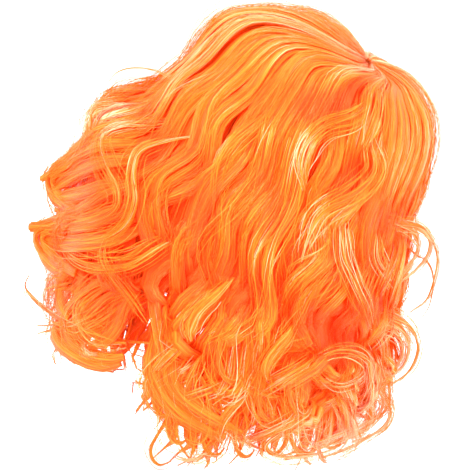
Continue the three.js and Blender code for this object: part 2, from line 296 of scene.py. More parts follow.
def lay_of_hair():
    """The outside of the hair as a grid over the turn and the share of the way from whorl to tip. In each
    upright plane the line runs over the cap at the depth of cover, leaves it along its slope, bends out to
    the flare and in to the hem. Returns radius, height over the widest level and cover, evenly spaced by
    length, and each line's length."""
    turn = np.radians(np.arange(-180.0, 180.0))[:, None]
    over = np.linspace(0.0, 1.0, LINE_STEPS)
    angle = np.radians(mix(WHORL_ANGLE, fall("leave"), over))
    cap_radius = 1.0 / np.hypot(np.sin(turn) / HOLLOW_HALF_WIDTH, np.cos(turn) / HOLLOW_HALF_LENGTH)
    waist = 1.0 - WAIST * smooth_step(angle, *WAIST_ANGLES)
    cover = COVER_AT_WHORL + (fall("cover") - COVER_AT_WHORL) * np.sin(angle) * waist
    radius = (cap_radius + CAP_WALL + cover) * np.sin(angle)
    height = (HOLLOW_HEIGHT + CAP_WALL + cover) * np.cos(angle)

    end_radius, end_height, leave = radius[:, -1:], height[:, -1:], angle[:, -1:]
    flare, flare_height = fall("flare"), -fall("flare_drop")
    hem, hem_height = fall("hem"), -fall("hem_drop") * LONGEST
    pull = np.hypot(flare - end_radius, flare_height - end_height) / 3.0
    flare_pull = (end_height - flare_height) / 3.0
    hem_pull = (flare_height - hem_height) / 3.0
    t = np.linspace(0.0, 1.0, LINE_STEPS)[1:]
    out_radius = cubic(end_radius, end_radius + pull * np.cos(leave), flare, flare, t)
    leave_height = end_height - pull * np.sin(leave)
    out_height = cubic(end_height, leave_height, flare_height + flare_pull, flare_height, t)
    in_radius = cubic(flare, flare, hem, hem, t)
    in_height = cubic(flare_height, flare_height - hem_pull, hem_height + hem_pull, hem_height, t)
    radius = np.concatenate((radius, out_radius, in_radius), axis=1)
    height = np.concatenate((height, out_height, in_height), axis=1)
    cover = np.concatenate((cover, np.repeat(cover[:, -1:], 2 * t.size, axis=1)), axis=1)

    steps = np.hypot(np.diff(radius, axis=1), np.diff(height, axis=1))
    lengths = np.concatenate((np.zeros((TURNS, 1)), np.cumsum(steps, axis=1)), axis=1)
    span = lengths[:, -1:]
    lines_apart = 2.0 * np.arange(TURNS)[:, None]
    known = (lengths / span + lines_apart).ravel()
    wanted = (np.linspace(0.0, 1.0, LAY_STEPS + 1) + lines_apart).ravel()
    lines = (radius, height, cover)
    even = [np.interp(wanted, known, values.ravel()).reshape(TURNS, -1) for values in lines]
    return (*even, span)


# The grid's values: radius, height, their slopes along the line, cover, the line's length and the hem's drop
lay_radius, lay_height, lay_cover, lay_span = lay_of_hair()
lay_grid = np.stack(
    (
        lay_radius,
        lay_height,
        np.gradient(lay_radius, axis=1) / lay_span * LAY_STEPS,
        np.gradient(lay_height, axis=1) / lay_span * LAY_STEPS,
        lay_cover,
        np.broadcast_to(lay_span, lay_radius.shape),
        np.broadcast_to(fall("hem_drop"), lay_radius.shape),
    ),
    axis=-1,
)


def on_lay(turn, share):
    """The lay's values at a turn and a share: the four nearest grid points mixed in straight lines."""
    place = np.mod(turn + 180.0, 360.0)
    spoke = np.floor(place).astype(int) % TURNS
    beside = (spoke + 1) % TURNS
    step = np.clip(share, 0.0, 1.0) * LAY_STEPS
    ring = np.minimum(step.astype(int), LAY_STEPS - 1)
    aside = (place - np.floor(place))[..., None]
    ahead = (step - ring)[..., None]
    near = mix(lay_grid[spoke, ring], lay_grid[spoke, ring + 1], ahead)
    far = mix(lay_grid[beside, ring], lay_grid[beside, ring + 1], ahead)
    return np.moveaxis(mix(near, far, aside), -1, 0)


def tip_to_whorl(vectors, tilt):
    """Vectors from the middle of the cap, tipped from upright towards the whorl's turn. The part along that
    turn becomes part x cos(tilt) + rise x sin(tilt), and the rise becomes rise x cos(tilt) - part x
    sin(tilt)."""
    whorl_turn = np.radians(WHORL_TURN)
    toward = np.array((-np.sin(whorl_turn), np.cos(whorl_turn), 0.0))
    part = vectors @ toward
    rise = vectors[..., 2]
    moved = part * (np.cos(tilt) - 1.0) + rise * np.sin(tilt)
    raised = rise * (np.cos(tilt) - 1.0) - part * np.sin(tilt)
    return vectors + moved[..., None] * toward + raised[..., None] * np.array((0.0, 0.0, 1.0))


def hair_points(turn, share, sink, side, lift):
    """Points of hair at a turn and share on the lay, tipped so that the crown's pole is the whorl, sunk by a
    share of the cover, and moved sideways and outwards in millimetres. Returns the points and the outward
    direction there."""
    radius, height, radius_slope, height_slope, cover, _, _ = on_lay(turn, share)
    angle = np.radians(turn)
    flat = np.zeros_like(angle)
    away = np.stack((-np.sin(angle), np.cos(angle), flat), axis=-1)
    sideways = np.stack((-np.cos(angle), -np.sin(angle), flat), axis=-1)
    up = np.array((0.0, 0.0, 1.0))
    out = away * -height_slope[..., None] + up * radius_slope[..., None]
    out /= np.linalg.norm(out, axis=-1, keepdims=True)
    tilt = np.radians(WHORL_TILT) * (1.0 - smooth_step(radius, 0.0, HOLLOW_HALF_LENGTH))
    out = tip_to_whorl(out, tilt)
    points = tip_to_whorl(away * radius[..., None] + up * height[..., None], tilt)
    points = points - up * HOLLOW_HEIGHT
    points += sideways * side[..., None] + out * (lift - sink * cover)[..., None]
    return points, out


picture_axes = np.array((camera_right, camera_up, camera_back))


def seen(points):
    """Points in millimetres as the camera sees them, right and up, at the scale of the aim's distance."""
    right, up, back = np.moveaxis((points - np.array(AIM) / MM) @ picture_axes.T, -1, 0)
    return np.stack((right, up), axis=-1) / (1.0 - back / CAMERA_DISTANCE * MM)[..., None]


# Hollows where the hair parts at the back, which dent it and have shade painted on it as red, and swells,
# which count below zero and have a highlight painted on them: the place right and up in the picture, the
# reach and the strength
DENTS_AND_PAINTED_LIGHT = np.array(
    [
        (56, 70, 8, 0.8),
        (42, 63, 8, 0.75),
        (65, 77, 4, 0.5),
        (65, 36, 6, 0.7),
        (54, 25, 6, 0.7),
        (76, 10, 8, 0.5),
        (23, 18, 7, 0.4),
        (23, 2, 7, 0.4),
        (8, -26, 7, 0.3),
        (-26, -23, 9, 0.3),
        (41, -41, 7, 0.4),
        (52, -47, 8, 0.55),
        (68, -39, 7, 0.5),
        (-72, -5, 26, 0.24),
        (-68, 30, 15, 0.44),
        (26, 72, 18, 0.22),
        (82, 62, 10, 0.15),
        (-62, -36, 10, 0.6),
        (6, -40, 8, 0.35),
        (57, -57, 8, 0.5),
        (60, -97, 13, -0.35),
        (38, -110, 8, -0.25),
        (40, -75, 7, 0.3),
        (76, -60, 9, -0.3),
        (-44, 44, 5, 0.4),
        (-62, 10, 6, 0.4),
        (-62, -23, 7, 0.4),
        (14, 53, 4, -0.3),
        (6, 43, 4, -0.3),
        (-8, 46, 7, -0.2),
        (-63, 60, 7, -0.4),
        (-56, 38, 5, -0.3),
        (36, 50, 5, -0.3),
        (73, 42, 5, -0.3),
        (41, -5, 7, -0.3),
        (29, 101, 10, -0.12),
        (60, 92, 8, -0.2),
        (92, -16, 8, -0.2),
    ]
)
HOLLOW_DEPTH = 4.0
HOLLOW_FADE = (-20.0, 10.0)


def dent_and_painted_light_at(points):
    """How deep the hair dips in the hollows and how much shade is painted on it there, and how much highlight
    is
    painted on the swells, below zero: the sum of the bell curves round their places in the picture, faded out
    between the back of the head and the front."""
    apart = np.sum((seen(points)[..., None, :] - DENTS_AND_PAINTED_LIGHT[:, :2]) ** 2, axis=-1) / DENTS_AND_PAINTED_LIGHT[:, 2] ** 2
    return np.exp(-apart / 2.0) @ DENTS_AND_PAINTED_LIGHT[:, 3] * smooth_step(points[..., 1], *HOLLOW_FADE)


SECTIONS = {
    "back_hair_left": (-90.0, 0.0),
    "back_hair_right": (0.0, 90.0),
    "side_hair_left": (-150.0, -90.0),
    "side_hair_right": (90.0, 150.0),
    "fringe": (150.0, 210.0),
}
# Layers from the outside in. Sink and depth are shares of the cover, clump, wave and lean shares of their
# full size, and widest is a half width. Bodies is the share of the lock's length that its bodies have, and
# taper where they start to narrow. Jitter is how far the locks stand out of step.
LAYERS = (
    {
        "locks": 42, "sink": 0.2, "depth": 0.2, "clump": 0.35, "wave": 1.0,
        "lean": 1.0, "widest": 4.0, "bodies": 0.94, "taper": 0.8, "jitter": 0.4,
    },
    {
        "locks": 36, "sink": 0.37, "depth": 0.2, "clump": 0.2, "wave": 0.8,
        "lean": 0.7, "widest": 5.0, "bodies": 0.96, "taper": 0.82, "jitter": 0.3,
    },
    {
        "locks": 34, "sink": 0.57, "depth": 0.2, "clump": 0.0, "wave": 0.3,
        "lean": 0.0, "widest": 6.5, "bodies": 1.02, "taper": 0.88, "jitter": 0.1,
    },
)
WAVE_AT_ROOT = 62.0
WAVE_AT_TIP = 44.0
WAVE_SIZE = 8.0
WAVE_DEPTH = 0.42
WAVE_SINK = 0.6
WAVE_LEFT_AT_ROOT = 0.05
WAVE_LOST_AT_TIP = 0.6
FULL_WAVE_DROP = 100.0
CURL_LENGTH = 35.0
CURL_SIZE = 10.0
CURL_DEPTH = 0.9
CURL_SINK = 0.3
CURL_TILT = 0.75
CURL_TILT_PHASE = 0.8
DRIFT_SIZE = 5.0
DRIFT_PACE = 5.0
LEAN = 11.0
ROOT_DEPTH = 0.5
GATHER_DEPTH = 0.5
SINK_RANGE = (-0.05, 1.0)
# Painted highlight on the crests of the waves and curls, and painted shade in their troughs
PAINTED_CREST_LIGHT = 0.27
# Where on the way from whorl to tip each change begins and ends
LOOSENING = (0.03, 0.55)
GATHERING = (0.15, 0.6)
TWISTING = (0.2, 1.0)
SWIRLING = (0.0, 0.2)
LEANING = (0.3, 0.9)
RISING = (0.0, 0.12)
LATE_START = (0.02, 0.1)
WAVING = (0.2, 0.52)
WAVE_ENDING = (0.6, 0.9)
CURLING = (0.5, 0.85)
DRIFTING = (0.2, 0.6)
# Turns between which the locks lean, and those between which the head is seen edge-on, as rise and fade
LEAN_TURNS = ((-32.0, -6.0), (50.0, 110.0))
EDGE_TURNS = ((45.0, 80.0), (110.0, 145.0))
# The turn round which the waves are calmer
CALM_TURN = -15.0
CALM_REACH = 28.0
CALM_SHARE = 0.45

chance = np.random.default_rng(11)


def make_locks():
    """A row of numbers for each lock. Locks stand evenly round the head in each layer, a little out of step.
    The phase of the waves changes slowly from lock to lock, with much chance in it."""
    layers = []
    for layer in LAYERS:
        count = layer["locks"]
        spacing = 360.0 / count
        out_of_step = layer["jitter"] * chance.uniform(-1.0, 1.0, count)
        turn = -180.0 + spacing * (np.arange(count) + 0.5 + out_of_step)
        layers.append(
            {
                "turn": turn,
                "half_turn": spacing * chance.uniform(0.5, 0.85, count),
                "sink": layer["sink"] + chance.uniform(-0.1, 0.1, count),
                "depth": np.full(count, layer["depth"]),
                "clump": layer["clump"] * chance.uniform(0.5, 1.4, count),
                "phase": 1.6 * np.sin(2.0 * np.radians(turn) + 0.4) + chance.normal(0.0, 0.7, count),
                "skew": chance.normal(0.6, 0.4, count),
                "share": chance.uniform(0.4, 1.6, count),
                # Painted light: the locks at the sides, at the edges as seen from behind, are tinted lighter
                "tint": chance.normal(0.0, 0.08, count) + 0.14 * smooth_step(np.abs(turn), 85.0, 130.0),
                "curl_phase": chance.normal(-0.2, 0.7, count),
                "drift": layer["wave"] ** 2 * chance.normal(0.0, 1.0, count),
                "drift_phase": chance.uniform(0.0, 2.0 * np.pi, count),
                "length": chance.uniform(0.86, 0.93, count),
                "hand": chance.choice((-1.0, 1.0), count),
                "hook": chance.choice((-1.0, 1.0), count),
                "lean": np.full(count, layer["lean"] * LEAN),
                "widest": np.full(count, layer["widest"]),
                "bodies": np.full(count, layer["bodies"]),
                "taper": np.full(count, layer["taper"]),
                "twist": chance.normal(0.0, 1.2, count),
                "size": layer["wave"] * chance.uniform(0.6, 1.2, count),
                "stretch": chance.normal(1.0, 0.08, count),
            }
        )
    return {name: np.concatenate([layer[name] for layer in layers]) for name in layers[0]}


def between(value, rise, fade):
    """A smooth step up over the rise times a smooth step down over the fade."""
    return smooth_step(value, *rise) * (1.0 - smooth_step(value, *fade))


def hair_paths(locks, hair, steps):
    """Paths of hairs inside their locks. A hair keeps its place across and deep in the lock, gathers to the
    middle and twists round it. The lock waves sideways by cos(phase) and inwards by cos(phase + skew), nearly
    in one plane and in step with its neighbours. It drifts and leans aside, and ends in a rounder and tighter
    helix, tilted so that it shows loops, and turned by up to a quarter where the head is seen edge-on. Once
    it is loose from the comb, each hair also strays by sines of its own and flies outwards. In the hollows it
    dips. Returns the points, the outward directions, the way from whorl to tip, the depth in the cover, and
    the painted light: a painted highlight on its crests and on the swells, and painted shade in its troughs
    and in the hollows."""
    own = {name: values[hair["lock"]][:, None] for name, values in locks.items()}
    hair = {name: values[:, None] for name, values in hair.items()}
    way = hair["start"] + steps * (own["length"] * hair["length"] - hair["start"])
    loose = smooth_step(way, *LOOSENING)
    gather = own["clump"] * smooth_step(way, *GATHERING)
    turning = own["twist"] * smooth_step(way, *TWISTING)
    over = hair["across"] * np.cos(turning) - hair["deep"] * np.sin(turning)
    under = hair["across"] * np.sin(turning) + hair["deep"] * np.cos(turning)
    swirl = SWIRL * (1.0 - smooth_step(way, *SWIRLING))
    lean = own["lean"] * between(own["turn"], *LEAN_TURNS) * smooth_step(way, *LEANING)
    turn = own["turn"] + swirl + lean + over * own["half_turn"] * (1.0 - gather)
    rooted = ROOT_DEPTH * (1.0 - smooth_step(way - hair["start"], *RISING))
    rooted = rooted * smooth_step(hair["start"], *LATE_START)
    sink = own["sink"] + under * own["depth"] * (1.0 - GATHER_DEPTH * gather) + rooted
    sink = np.clip(sink, *SINK_RANGE)

    _, _, _, _, _, span, drop = on_lay(turn, way)
    free = smooth_step(drop, 0.0, FULL_WAVE_DROP)
    wave_length = WAVE_AT_ROOT * own["stretch"]
    tightening = (WAVE_AT_ROOT - WAVE_AT_TIP) * own["stretch"]
    waves = span * np.log(wave_length / (wave_length - tightening * way)) / tightening
    own_phase = hair["phase"] * mix(0.3, 1.0, loose)
    phase = own["phase"] + own_phase + 2.0 * np.pi * waves
    calm = 1.0 - CALM_SHARE * np.exp(-(((turn - CALM_TURN) / CALM_REACH) ** 2))
    wave = WAVE_SIZE * own["size"] * calm * free * mix(WAVE_LEFT_AT_ROOT, 1.0, smooth_step(way, *WAVING))
    wave = wave * (1.0 - WAVE_LOST_AT_TIP * smooth_step(way, *WAVE_ENDING))
    curls = span * (way - own["length"]) / CURL_LENGTH / own["stretch"]
    curl_phase = own["curl_phase"] + own_phase + 2.0 * np.pi * curls
    curl = CURL_SIZE * own["size"] * free * smooth_step(way, *CURLING)
    drift = DRIFT_SIZE * own["drift"] * free * smooth_step(way, *DRIFTING)
    drift = drift * np.cos(own["drift_phase"] + DRIFT_PACE * way)
    stray_phase = hair["pace"] * way + hair["offset"]
    stray = np.sin(stray_phase) + 0.5 * np.sin(1.7 * stray_phase + 1.0)
    stray_out = np.sin(1.3 * stray_phase + 2.0)

    facing = between(np.abs(own["turn"]), *EDGE_TURNS) * np.pi / 2.0
    loop_side = own["hook"] * np.cos(curl_phase)
    loop_out = own["hand"] * CURL_DEPTH * np.sin(curl_phase)
    curl_side = loop_side * np.cos(facing) - loop_out * np.sin(facing)
    curl_out = loop_side * np.sin(facing) + loop_out * np.cos(facing)
    wave_in = np.cos(phase + own["skew"])
    side = wave * np.cos(phase) + curl * curl_side + drift + hair["stray"] * loose * stray
    lift = curl * (curl_out - CURL_SINK * CURL_DEPTH) - wave * WAVE_DEPTH * (wave_in + WAVE_SINK)
    lift = lift + loose * (0.5 * hair["stray"] * stray_out + hair["fly"])
    tilted = way - CURL_TILT * curl / span * np.sin(curl_phase + CURL_TILT_PHASE)
    points, out = hair_points(turn, tilted, sink, side, lift)
    # The hollows dent the hair and carry painted shade, and the swells carry a painted highlight
    dent_and_painted_light = dent_and_painted_light_at(points)
    points = points - out * (HOLLOW_DEPTH * np.maximum(dent_and_painted_light, 0.0))[..., None]
    # Painted light: crests are painted lighter and troughs darker, and the painted shade and highlight of the
    # hollows and swells are added
    crest = curl / CURL_SIZE * curl_out - wave / WAVE_SIZE * wave_in
    return points, out, way, sink, PAINTED_CREST_LIGHT * crest - dent_and_painted_light


def tube_rings(points, out, half_width, half_thick, sides):
    """Rings round paths: centre + across x half width x cos(angle) + up x half thickness x sin(angle).
    Across is square to the path and the outward direction, and the first point faces inwards."""
    ahead = np.gradient(points, axis=1)
    ahead /= np.linalg.norm(ahead, axis=-1, keepdims=True)
    across = np.cross(out, ahead)
    across /= np.linalg.norm(across, axis=-1, keepdims=True)
    up = np.cross(ahead, across)
    angle = 2.0 * np.pi * np.arange(sides) / sides - np.pi / 2.0
    wide = (half_width[..., None] * np.cos(angle))[..., None]
    thick = (half_thick[..., None] * np.sin(angle))[..., None]
    return points[:, :, None, :] + across[:, :, None, :] * wide + up[:, :, None, :] * thick


def path_lengths(points):
    """Length along each path up to each of its points."""
    steps = np.linalg.norm(np.diff(points, axis=1), axis=-1)
    return np.concatenate((np.zeros((points.shape[0], 1)), np.cumsum(steps, axis=1)), axis=1)


def in_section(turn, section):
    """Which of the turns lie in a section of the hair."""
    low, high = SECTIONS[section]
    return np.mod(turn - low, 360.0) < high - low


# The ramp runs by tint less painted depth shade: its red end stands for shade deep in the hair as well as for
# the reddest fibres, and its pale end for painted highlights as well as for the palest fibres
RED_TONE_AND_SHADE = (0.92, 0.03, 0.0015, 1.0)
MIDDLE_ORANGE = (0.96, 0.1, 0.004, 1.0)
LIGHT_ORANGE = (0.98, 0.2, 0.016, 1.0)
PALE_ORANGE = (1.0, 0.45, 0.27, 1.0)
GLOSS_COLOUR = (1.0, 0.84, 0.3, 1.0)
# Painted glow: the hair gives off a little red light of its own, which lifts its shade
PAINTED_GLOW_COLOUR = (1.0, 0.08, 0.005, 1.0)
PAINTED_GLOW = 0.16
STREAKS_PER_MM = 1.4
STREAK_LENGTH = 60.0


def hair_finish(name, streaks, ridges):
    """Glossy dyed fibre with a small painted glow, an emission that lifts the shade deep in the hair to red.
    The colour runs from red, painted as shade deep in the hair, over orange to cream outside, by the tint
    along each hair less its painted depth shade. Streaks along the fibre break it up, and stand up as ridges
    where that is asked for."""
    finish = bpy.data.materials.new(name)
    finish.use_nodes = True
    nodes = finish.node_tree.nodes
    links = finish.node_tree.links
    shader = nodes["Principled BSDF"]
    set_inputs(shader, {"Roughness": 0.38, "Anisotropic": 0.6, "Specular IOR Level": 0.5})
    set_inputs(shader, {"Specular Tint": GLOSS_COLOUR})
    # Painted glow, which lifts the shade in the gaps to red
    set_inputs(shader, {"Emission Color": PAINTED_GLOW_COLOUR, "Emission Strength": PAINTED_GLOW})

    fibre = nodes.new("ShaderNodeUVMap")
    fibre.uv_map = "fibre"
    tangent = nodes.new("ShaderNodeTangent")
    tangent.direction_type = "UV_MAP"
    tangent.uv_map = "fibre"
    links.new(tangent.outputs["Tangent"], shader.inputs["Tangent"])
    depth = nodes.new("ShaderNodeAttribute")
    depth.attribute_name = "depth"
    tint = nodes.new("ShaderNodeAttribute")
    tint.attribute_name = "tint"

    stretch = nodes.new("ShaderNodeMapping")
    set_inputs(stretch, {"Scale": (STREAKS_PER_MM, 1.0 / STREAK_LENGTH, 1.0)})
    links.new(fibre.outputs["UV"], stretch.inputs["Vector"])
    links.new(tint.outputs["Vector"], stretch.inputs["Location"])
    streak = nodes.new("ShaderNodeTexNoise")
    set_inputs(streak, {"Scale": 1.0, "Detail": 3.0, "Roughness": 0.7})
    links.new(stretch.outputs["Vector"], streak.inputs["Vector"])

    contrast = nodes.new("ShaderNodeMapRange")
    set_inputs(contrast, {"From Min": 0.35, "From Max": 0.65, "To Min": -streaks, "To Max": streaks})
    links.new(streak.outputs["Fac"], contrast.inputs["Value"])
    shade = nodes.new("ShaderNodeMath")
    shade.operation = "ADD"
    links.new(contrast.outputs["Result"], shade.inputs[0])
    links.new(tint.outputs["Fac"], shade.inputs[1])
    sunk = nodes.new("ShaderNodeMath")
    sunk.operation = "SUBTRACT"
    links.new(shade.outputs["Value"], sunk.inputs[0])
    links.new(depth.outputs["Fac"], sunk.inputs[1])
    ramp = nodes.new("ShaderNodeValToRGB")
    ramp.color_ramp.elements[0].color = RED_TONE_AND_SHADE
    ramp.color_ramp.elements[1].color = PALE_ORANGE
    ramp.color_ramp.elements.new(0.5).color = MIDDLE_ORANGE
    ramp.color_ramp.elements.new(0.8).color = LIGHT_ORANGE
    links.new(sunk.outputs["Value"], ramp.inputs["Fac"])
    links.new(ramp.outputs["Color"], shader.inputs["Base Color"])
    if ridges:
        ridge_bump = nodes.new("ShaderNodeBump")
        set_inputs(ridge_bump, {"Strength": 0.8, "Distance": 0.0008})
        links.new(contrast.outputs["Result"], ridge_bump.inputs["Height"])
        links.new(ridge_bump.outputs["Normal"], shader.inputs["Normal"])
    return finish


# Where the bodies of a lock lie across and deep in it, and how wide and thick they are
BODY_PLACES = ((-0.6, 0.55), (0.0, 0.15), (0.6, 0.55))
BODY_SIDES = 6
BODY_RINGS = 41
RING_PACE = 0.85
BODY_STEPS = np.linspace(0.0, 1.0, BODY_RINGS) ** RING_PACE
BODY_SHARE = 0.45
BODY_AT_ROOT = 0.3
BODY_LOST_AT_TIP = 0.94
FLATNESS = 0.3
LEAST_THICK = 0.1
MOST_THICK = 1.4
LOCK_STREAKS = 0.42
TINT_RANGE = (0.2, 0.9)
# Colour along the hair: painted light near the whorl and at the tips, lost lower down, and painted shade by
# depth, lost at the tips
PAINTED_WHORL_LIGHT = 0.17
PAINTED_LIGHT_LOST = 0.3
PAINTED_TIP_LIGHT = 0.16
DEEP_SHADE = 0.6
SHADE_LOST_AT_TIP = 0.45
# The turn round which the hanging ends are thinner
THIN_TURN = 95.0
THIN_REACH = 22.0
THIN_SHARE = 0.5

lock_finish = hair_finish("combed_locks", LOCK_STREAKS, True)
locks = make_locks()
lock_count = locks["turn"].size
body_count = lock_count * len(BODY_PLACES)
body_across, body_deep = np.tile(np.array(BODY_PLACES).T, lock_count)
bodies = {
    "lock": np.repeat(np.arange(lock_count), len(BODY_PLACES)),
    "across": body_across + chance.normal(0.0, 0.1, body_count),
    "deep": body_deep + chance.normal(0.0, 0.15, body_count),
    "start": np.zeros(body_count),
    "length": np.repeat(locks["bodies"], len(BODY_PLACES)) + chance.uniform(-0.04, 0.02, body_count),
    "phase": chance.normal(0.0, 0.4, body_count),
    "stray": chance.uniform(0.0, 1.0, body_count),
    "fly": np.zeros(body_count),
    "pace": chance.uniform(12.0, 30.0, body_count),
    "offset": chance.uniform(0.0, 2.0 * np.pi, body_count),
}
body_tint = chance.normal(0.5, 0.08, body_count) + locks["tint"][bodies["lock"]]
body_tint = np.clip(body_tint, *TINT_RANGE)


def shades_of(tint, way, sink, light):
    """Painted shade and light along each hair, with its tint: deep hair is painted redder as shade, and hair
    near the whorl, on the crests of the waves and at the tips is painted lighter as highlight."""
    fading = PAINTED_LIGHT_LOST * smooth_step(way, 0.2, 0.6)
    lighter = light + PAINTED_WHORL_LIGHT - fading + PAINTED_TIP_LIGHT * smooth_step(way, 0.72, 0.92)
    shaded = DEEP_SHADE - SHADE_LOST_AT_TIP * smooth_step(way, 0.6, 0.9)
    return {"depth": shaded * sink, "tint": tint[:, None] + lighter}


for section in SECTIONS:
    chosen = in_section(locks["turn"][bodies["lock"]], section)
    section_bodies = {name: values[chosen] for name, values in bodies.items()}
    points, out, way, sink, light = hair_paths(locks, section_bodies, BODY_STEPS)
    own = {name: values[section_bodies["lock"]][:, None] for name, values in locks.items()}
    own_turn = np.broadcast_to(own["turn"], way.shape)
    lock_width = on_lay(own_turn, way)[0] * np.radians(own["half_turn"])
    root_taper = mix(BODY_AT_ROOT, 1.0, smooth_step(BODY_STEPS, 0.0, 0.05))
    tip_taper = 1.0 - BODY_LOST_AT_TIP * smooth_step(BODY_STEPS, own["taper"], 1.0)
    thin = THIN_SHARE * np.exp(-(((own_turn - THIN_TURN) / THIN_REACH) ** 2)) * smooth_step(way, 0.35, 0.55)
    half_width = np.minimum(lock_width * BODY_SHARE, own["widest"]) * root_taper * tip_taper * (1.0 - thin)
    half_thick = np.minimum(FLATNESS * half_width + LEAST_THICK, MOST_THICK)
    rings = tube_rings(points, out, half_width, half_thick, BODY_SIDES)
    girth = np.pi * (half_width + half_thick).max(axis=1)
    shades = shades_of(body_tint[chosen], way, sink, light)
    piece = put_mesh(section + "_locks", rings, path_lengths(points), girth, shades, lock_finish)
    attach(piece, "root")
    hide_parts(section)

# Strands: the fibres on and between the locks, in small bundles, each a thin tapering filament. Most
# follow their lock in its outer half, and the flyaways stray from it, cross the others and stand off. The
# curls at the hem are wider and flat.
STRANDS_IN_BUNDLE = 3
STRAND_SIDES = 3
STRAND_KINDS = {
    "long_strands": {
        "bundles": 280, "rings": 33, "width": (0.08, 0.16), "tint": 0.64,
        "phase": 0.2, "stray": (0.2, 1.0), "fly": (0.0, 0.5), "length": 0.98, "start": (0.0, 0.03),
    },
    "short_strands": {
        "bundles": 320, "rings": 26, "width": (0.08, 0.16), "tint": 0.64,
        "phase": 0.4, "stray": (0.3, 2.0), "fly": (0.0, 0.8), "length": 0.98, "start": (0.1, 0.5),
    },
    "hem_curls": {
        "bundles": 120, "rings": 24, "width": (0.7, 1.6), "tint": 0.56,
        "phase": 0.35, "stray": (0.3, 1.4), "fly": (-4.0, 0.0), "length": 0.98, "start": (0.36, 0.5),
    },
    "hem_strands": {
        "bundles": 440, "rings": 23, "width": (0.08, 0.15), "tint": 0.63,
        "phase": 0.55, "stray": (0.5, 2.4), "fly": (-4.0, 0.8), "length": 1.0, "start": (0.42, 0.6),
    },
    "flyaways": {
        "bundles": 80, "rings": 31, "width": (0.09, 0.15), "tint": 0.7,
        "phase": 0.8, "stray": (1.5, 4.5), "fly": (0.5, 3.0), "length": 0.94, "start": (0.0, 0.4),
    },
}
BUNDLE_ANGLES = (-20.0, 200.0)
BUNDLE_REACH = (0.7, 1.15)
BUNDLE_PACE = (10.0, 26.0)
BUNDLE_SPREAD = {
    "across": 0.14, "deep": 0.14, "start": 0.012, "length": 0.012, "phase": 0.12,
    "stray": 0.25, "fly": 0.3, "pace": 1.5, "offset": 0.4,
}
STRAND_TINT_SPREAD = 0.14
STRAND_TINT_RANGE = (0.1, 1.2)
STRAND_AT_ROOT = 0.55
STRAND_LOST_AT_TIP = 0.7
STRAND_STREAKS = 0.15

strand_finish = hair_finish("loose_strands", STRAND_STREAKS, False)
lock_pull = locks["share"] * (1.0 - locks["sink"]) ** 3
lock_pull /= lock_pull.sum()


def make_strands(kind):
    """Numbers for each strand of a kind. A bundle has its place in the outer half of its lock's section, and
    its strands lie round it with a normal spread."""
    bundles = kind["bundles"]
    count = bundles * STRANDS_IN_BUNDLE

    def spread(name, values):
        return np.repeat(values, STRANDS_IN_BUNDLE) + chance.normal(0.0, BUNDLE_SPREAD[name], count)

    angle = np.radians(chance.uniform(*BUNDLE_ANGLES, bundles))
    reach = chance.uniform(*BUNDLE_REACH, bundles)
    return {
        "lock": np.repeat(chance.choice(lock_count, bundles, p=lock_pull), STRANDS_IN_BUNDLE),
        "across": spread("across", reach * np.cos(angle)),
        "deep": spread("deep", -reach * np.sin(angle)),
        "start": np.clip(spread("start", chance.uniform(*kind["start"], bundles)), 0.0, 0.55),
        "length": np.clip(spread("length", chance.normal(kind["length"], 0.02, bundles)), 0.75, 1.02),
        "phase": spread("phase", chance.normal(0.0, kind["phase"], bundles)),
        "stray": spread("stray", chance.uniform(*kind["stray"], bundles)),
        "fly": spread("fly", chance.uniform(*kind["fly"], bundles)),
        "pace": spread("pace", chance.uniform(*BUNDLE_PACE, bundles)),
        "offset": spread("offset", chance.uniform(0.0, 2.0 * np.pi, bundles)),
    }


for kind_name, kind in STRAND_KINDS.items():
    strands = make_strands(kind)
    strand_count = strands["lock"].size
    strand_tint = chance.normal(kind["tint"], STRAND_TINT_SPREAD, strand_count)
    strand_tint = np.clip(strand_tint + locks["tint"][strands["lock"]], *STRAND_TINT_RANGE)
    strand_width = chance.uniform(*kind["width"], strand_count)
    strand_steps = np.linspace(0.0, 1.0, kind["rings"]) ** RING_PACE
    flat = kind_name == "hem_curls"
    finish = lock_finish if flat else strand_finish
    for section in SECTIONS:
        chosen = in_section(locks["turn"][strands["lock"]], section)
        section_strands = {name: values[chosen] for name, values in strands.items()}
        points, out, way, sink, light = hair_paths(locks, section_strands, strand_steps)
        half_width = strand_width[chosen][:, None] * mix(STRAND_AT_ROOT, 1.0, smooth_step(way, 0.05, 0.45))
        half_width = half_width * (1.0 - STRAND_LOST_AT_TIP * smooth_step(strand_steps, 0.75, 1.0))
        half_thick = half_width * (FLATNESS if flat else 1.0)
        rings = tube_rings(points, out, half_width, half_thick, STRAND_SIDES)
        girth = 2.0 * np.pi * strand_width[chosen]
        shades = shades_of(strand_tint[chosen], way, sink, light)
        piece = put_mesh(section + "_" + kind_name, rings, path_lengths(points), girth, shades, finish)
        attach(piece, "root")
